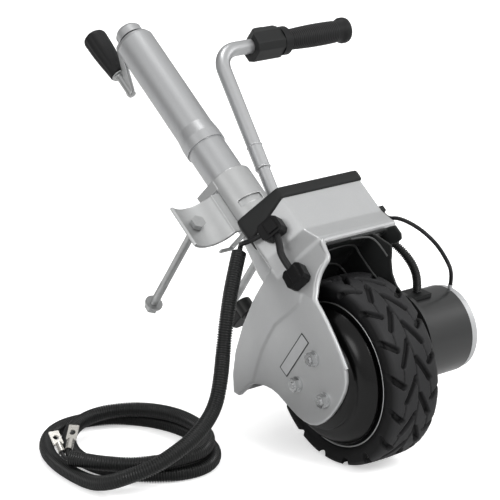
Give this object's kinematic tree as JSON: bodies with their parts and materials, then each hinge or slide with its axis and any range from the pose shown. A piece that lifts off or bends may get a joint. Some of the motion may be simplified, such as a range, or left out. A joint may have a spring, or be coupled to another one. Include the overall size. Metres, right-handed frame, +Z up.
{
  "type": "electric trailer dolly",
  "caption": "Motor-driven jockey wheel for moving a trailer by hand: screw jack tube, drawbar clamp, side handle with switch, geared motor beside the tyre and a power hose.",
  "frame": {"origin": "middle of the clamp plate's rear face, on the line between its two bolts", "axes": "+Z up as the dolly stands parked, leaning; +Y along the wheel axle towards the motor; +X towards the wheel and the front, away from the crank"},
  "size_m": [0.7483, 0.7032, 0.5272],
  "materials": {
    "cast_aluminium": "silver paint, satin",
    "zinc_steel": "zinc plated",
    "black_cover": "fine grain, matt",
    "black_liner": "semi-matt, moulded",
    "tyre_rubber": "matt rubber",
    "dark_rim": "dark grey paint",
    "hub_black": "black paint, satin",
    "gear_steel": "machined",
    "bearing_steel": "ground",
    "motor_black": "black gloss paint",
    "motor_silver": "cast and turned",
    "copper_winding": "enamelled copper",
    "magnet_grey": "ferrite",
    "tube_paint": "silver paint, satin",
    "grip_rubber": "matt",
    "switch_plastic": "matt",
    "rocker_plastic": "semi-matt",
    "connector_black": "matt",
    "cable_black": "satin",
    "conduit_black": "ribbed, satin",
    "tinned_copper": "tinned"
  },
  "bodies": {
    "fork": {"fork_casting": "cast_aluminium", "motor_side_cheek": "motor_silver", "top_cover": "black_cover", "cover_screws": "zinc_steel", "wheel_arch_liner": "black_liner", "stub_axle": "gear_steel", "hub_cover": "hub_black", "hub_bolts": "zinc_steel", "spring_washers": "zinc_steel", "axle_clip": "zinc_steel", "pinion_bearing": "bearing_steel", "gearbox_housing": "motor_silver", "motor_can": "motor_black", "motor_magnets": "magnet_grey", "motor_end_cap": "motor_silver", "end_cap_screws": "zinc_steel", "terminal_cover": "black_cover", "motor_conduit": "conduit_black", "motor_cable": "cable_black", "cable_clip": "black_cover", "lead_connector": "connector_black", "link_connector": "connector_black", "link_lead": "cable_black", "lead_cable": "cable_black", "power_hose": "conduit_black", "hose_coil": "conduit_black", "terminal_leads": "cable_black", "battery_terminals": "tinned_copper", "handle_stem": "tube_paint", "handle_bar": "tube_paint", "switch_housing": "switch_plastic", "grip_collar": "grip_rubber", "handle_grip": "grip_rubber"},
    "inner_tube": {"inner_tube": "tube_paint", "spindle_nut": "gear_steel"},
    "jack_tube": {"lower_jack_tube": "tube_paint", "upper_jack_tube": "tube_paint", "tube_end_cap": "tube_paint", "thrust_bearing": "bearing_steel", "clamp_saddle": "zinc_steel", "clamp_plate": "zinc_steel", "clamp_bolts": "zinc_steel", "clamp_nuts": "zinc_steel"},
    "crank": {"spindle": "gear_steel", "crank_hub": "zinc_steel", "crank_arm": "zinc_steel"},
    "crank_grip": {"crank_grip": "grip_rubber"},
    "wheel": {"rim": "dark_rim", "tyre": "tyre_rubber", "ring_gear": "gear_steel", "wheel_bearings": "bearing_steel"},
    "carrier": {"planet_carrier": "gear_steel", "drive_pinion": "gear_steel"},
    "planet_1": {"planet_gear_1": "gear_steel"},
    "planet_2": {"planet_gear_2": "gear_steel"},
    "planet_3": {"planet_gear_3": "gear_steel"},
    "armature": {"armature": "copper_winding", "armature_shaft": "gear_steel"},
    "switch_rocker": {"switch_rocker": "rocker_plastic"},
    "clutch_lever": {"clutch_lever": "rocker_plastic"}
  },
  "joints": [
    {"name": "steer_swivel", "type": "hinge", "parent": "fork", "child": "inner_tube", "pos_m": [0.04478, 0, -0.01152], "axis": [-0.809, 0, 0.5878], "range_deg": [0, 120]},
    {"name": "jack_slide", "type": "slide", "parent": "inner_tube", "child": "jack_tube", "axis": [-0.809, 0, 0.5878], "range_m": [0, 0.15]},
    {"name": "crank_turn", "type": "hinge", "parent": "jack_tube", "child": "crank", "pos_m": [-0.27478, 0, 0.22065], "axis": [-0.809, 0, 0.5878], "range_deg": [0, 13500]},
    {"name": "crank_grip_spin", "type": "hinge", "parent": "crank", "child": "crank_grip", "pos_m": [-0.32976, -0.0045, 0.17901], "axis": [-0.809, 0, 0.5878], "continuous": true},
    {"name": "wheel_spin", "type": "hinge", "parent": "fork", "child": "wheel", "pos_m": [0.24703, 0, -0.15847], "axis": [0, 1, 0], "continuous": true},
    {"name": "carrier_spin", "type": "hinge", "parent": "fork", "child": "carrier", "pos_m": [0.23858, 0.05, -0.14034], "axis": [0, 1, 0], "continuous": true},
    {"name": "armature_spin", "type": "hinge", "parent": "fork", "child": "armature", "pos_m": [0.23858, 0.13, -0.14034], "axis": [0, 1, 0], "continuous": true},
    {"name": "planet_1_spin", "type": "hinge", "parent": "carrier", "child": "planet_1", "pos_m": [0.25622, 0.078, -0.11607], "axis": [0, 1, 0], "continuous": true},
    {"name": "planet_2_spin", "type": "hinge", "parent": "carrier", "child": "planet_2", "pos_m": [0.20875, 0.078, -0.13721], "axis": [0, 1, 0], "continuous": true},
    {"name": "planet_3_spin", "type": "hinge", "parent": "carrier", "child": "planet_3", "pos_m": [0.25078, 0.078, -0.16775], "axis": [0, 1, 0], "continuous": true},
    {"name": "rocker_tilt", "type": "hinge", "parent": "fork", "child": "switch_rocker", "pos_m": [-0.17913, 0.17, 0.21194], "axis": [0, 1, 0], "range_deg": [-12, 12], "stiffness_Nm_per_rad": 0.4},
    {"name": "clutch_turn", "type": "hinge", "parent": "fork", "child": "clutch_lever", "pos_m": [0.03454, -0.02, -0.12769], "axis": [-0.809, 0, 0.5878], "range_deg": [0, 60]}
  ],
  "couplings": [
    {"joint": "crank_turn", "follows": "jack_slide", "rad_per_m": 1570.8},
    {"joint": "carrier_spin", "follows": "wheel_spin", "ratio": 1.5},
    {"joint": "armature_spin", "follows": "wheel_spin", "ratio": 7.5},
    {"joint": "planet_1_spin", "follows": "wheel_spin", "ratio": -4},
    {"joint": "planet_2_spin", "follows": "wheel_spin", "ratio": -4},
    {"joint": "planet_3_spin", "follows": "wheel_spin", "ratio": -4}
  ]
}
